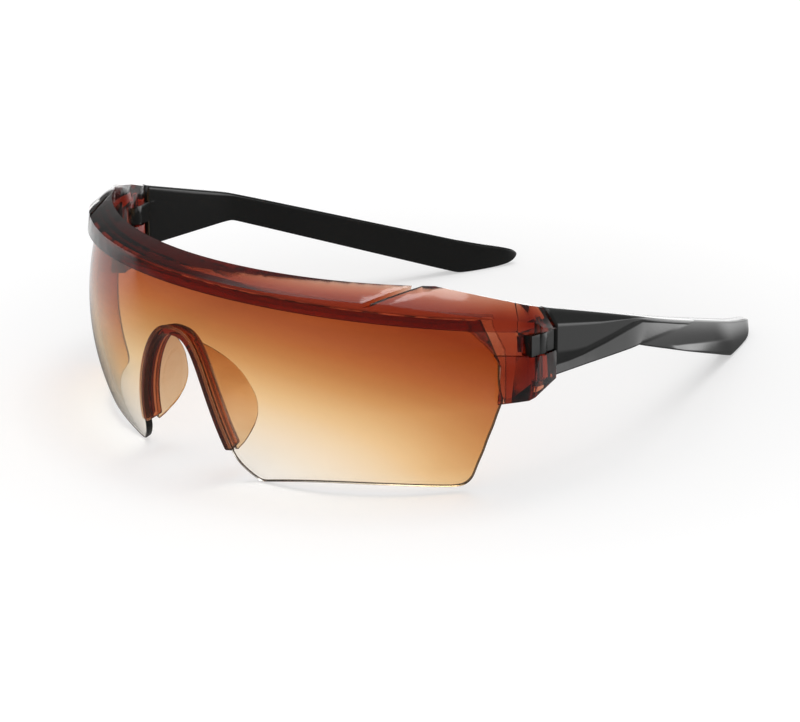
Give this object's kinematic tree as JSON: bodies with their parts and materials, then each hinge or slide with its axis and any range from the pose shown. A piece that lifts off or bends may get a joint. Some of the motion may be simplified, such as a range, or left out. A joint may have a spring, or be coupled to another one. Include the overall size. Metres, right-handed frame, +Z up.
{
  "type": "shield sunglasses",
  "caption": "Shield sunglasses with one curved gradient lens hung in a transparent half frame, a clip-on nose saddle and two temples that fold on screw hinges.",
  "frame": {"origin": "centre of the overall box on the table that the glasses rest on", "axes": "+X to the wearer's left, +Y from the lens back along the temples, +Z up from the table. The glasses lie tipped 0.7 degrees toward their lens, so the hinge axes lean by as much."},
  "size_m": [0.145, 0.165, 0.0529],
  "materials": {
    "frame_plastic": "transparent red-brown moulded nylon, polished",
    "lens_plastic": "clear polycarbonate with a brown gradient tint, fading to clear at the lower edge",
    "nose_plastic": "soft translucent brown plastic",
    "temple_plastic": "glossy near-black moulded nylon",
    "screw_steel": "plain steel"
  },
  "bodies": {
    "frame": {"brow_frame": "frame_plastic", "shield_lens": "lens_plastic", "nose_piece": "nose_plastic", "hinge_screw_left": "screw_steel", "hinge_screw_right": "screw_steel"},
    "left_arm": {"temple_left": "temple_plastic"},
    "right_arm": {"temple_right": "temple_plastic"}
  },
  "joints": [
    {"name": "left_hinge", "type": "hinge", "parent": "frame", "child": "left_arm", "pos_m": [0.0694, -0.03213, 0.03644], "axis": [0, 0.0122, 0.9999], "range_deg": [0, 87]},
    {"name": "right_hinge", "type": "hinge", "parent": "frame", "child": "right_arm", "pos_m": [-0.0694, -0.03213, 0.03644], "axis": [0, -0.0122, -0.9999], "range_deg": [0, 77]}
  ]
}
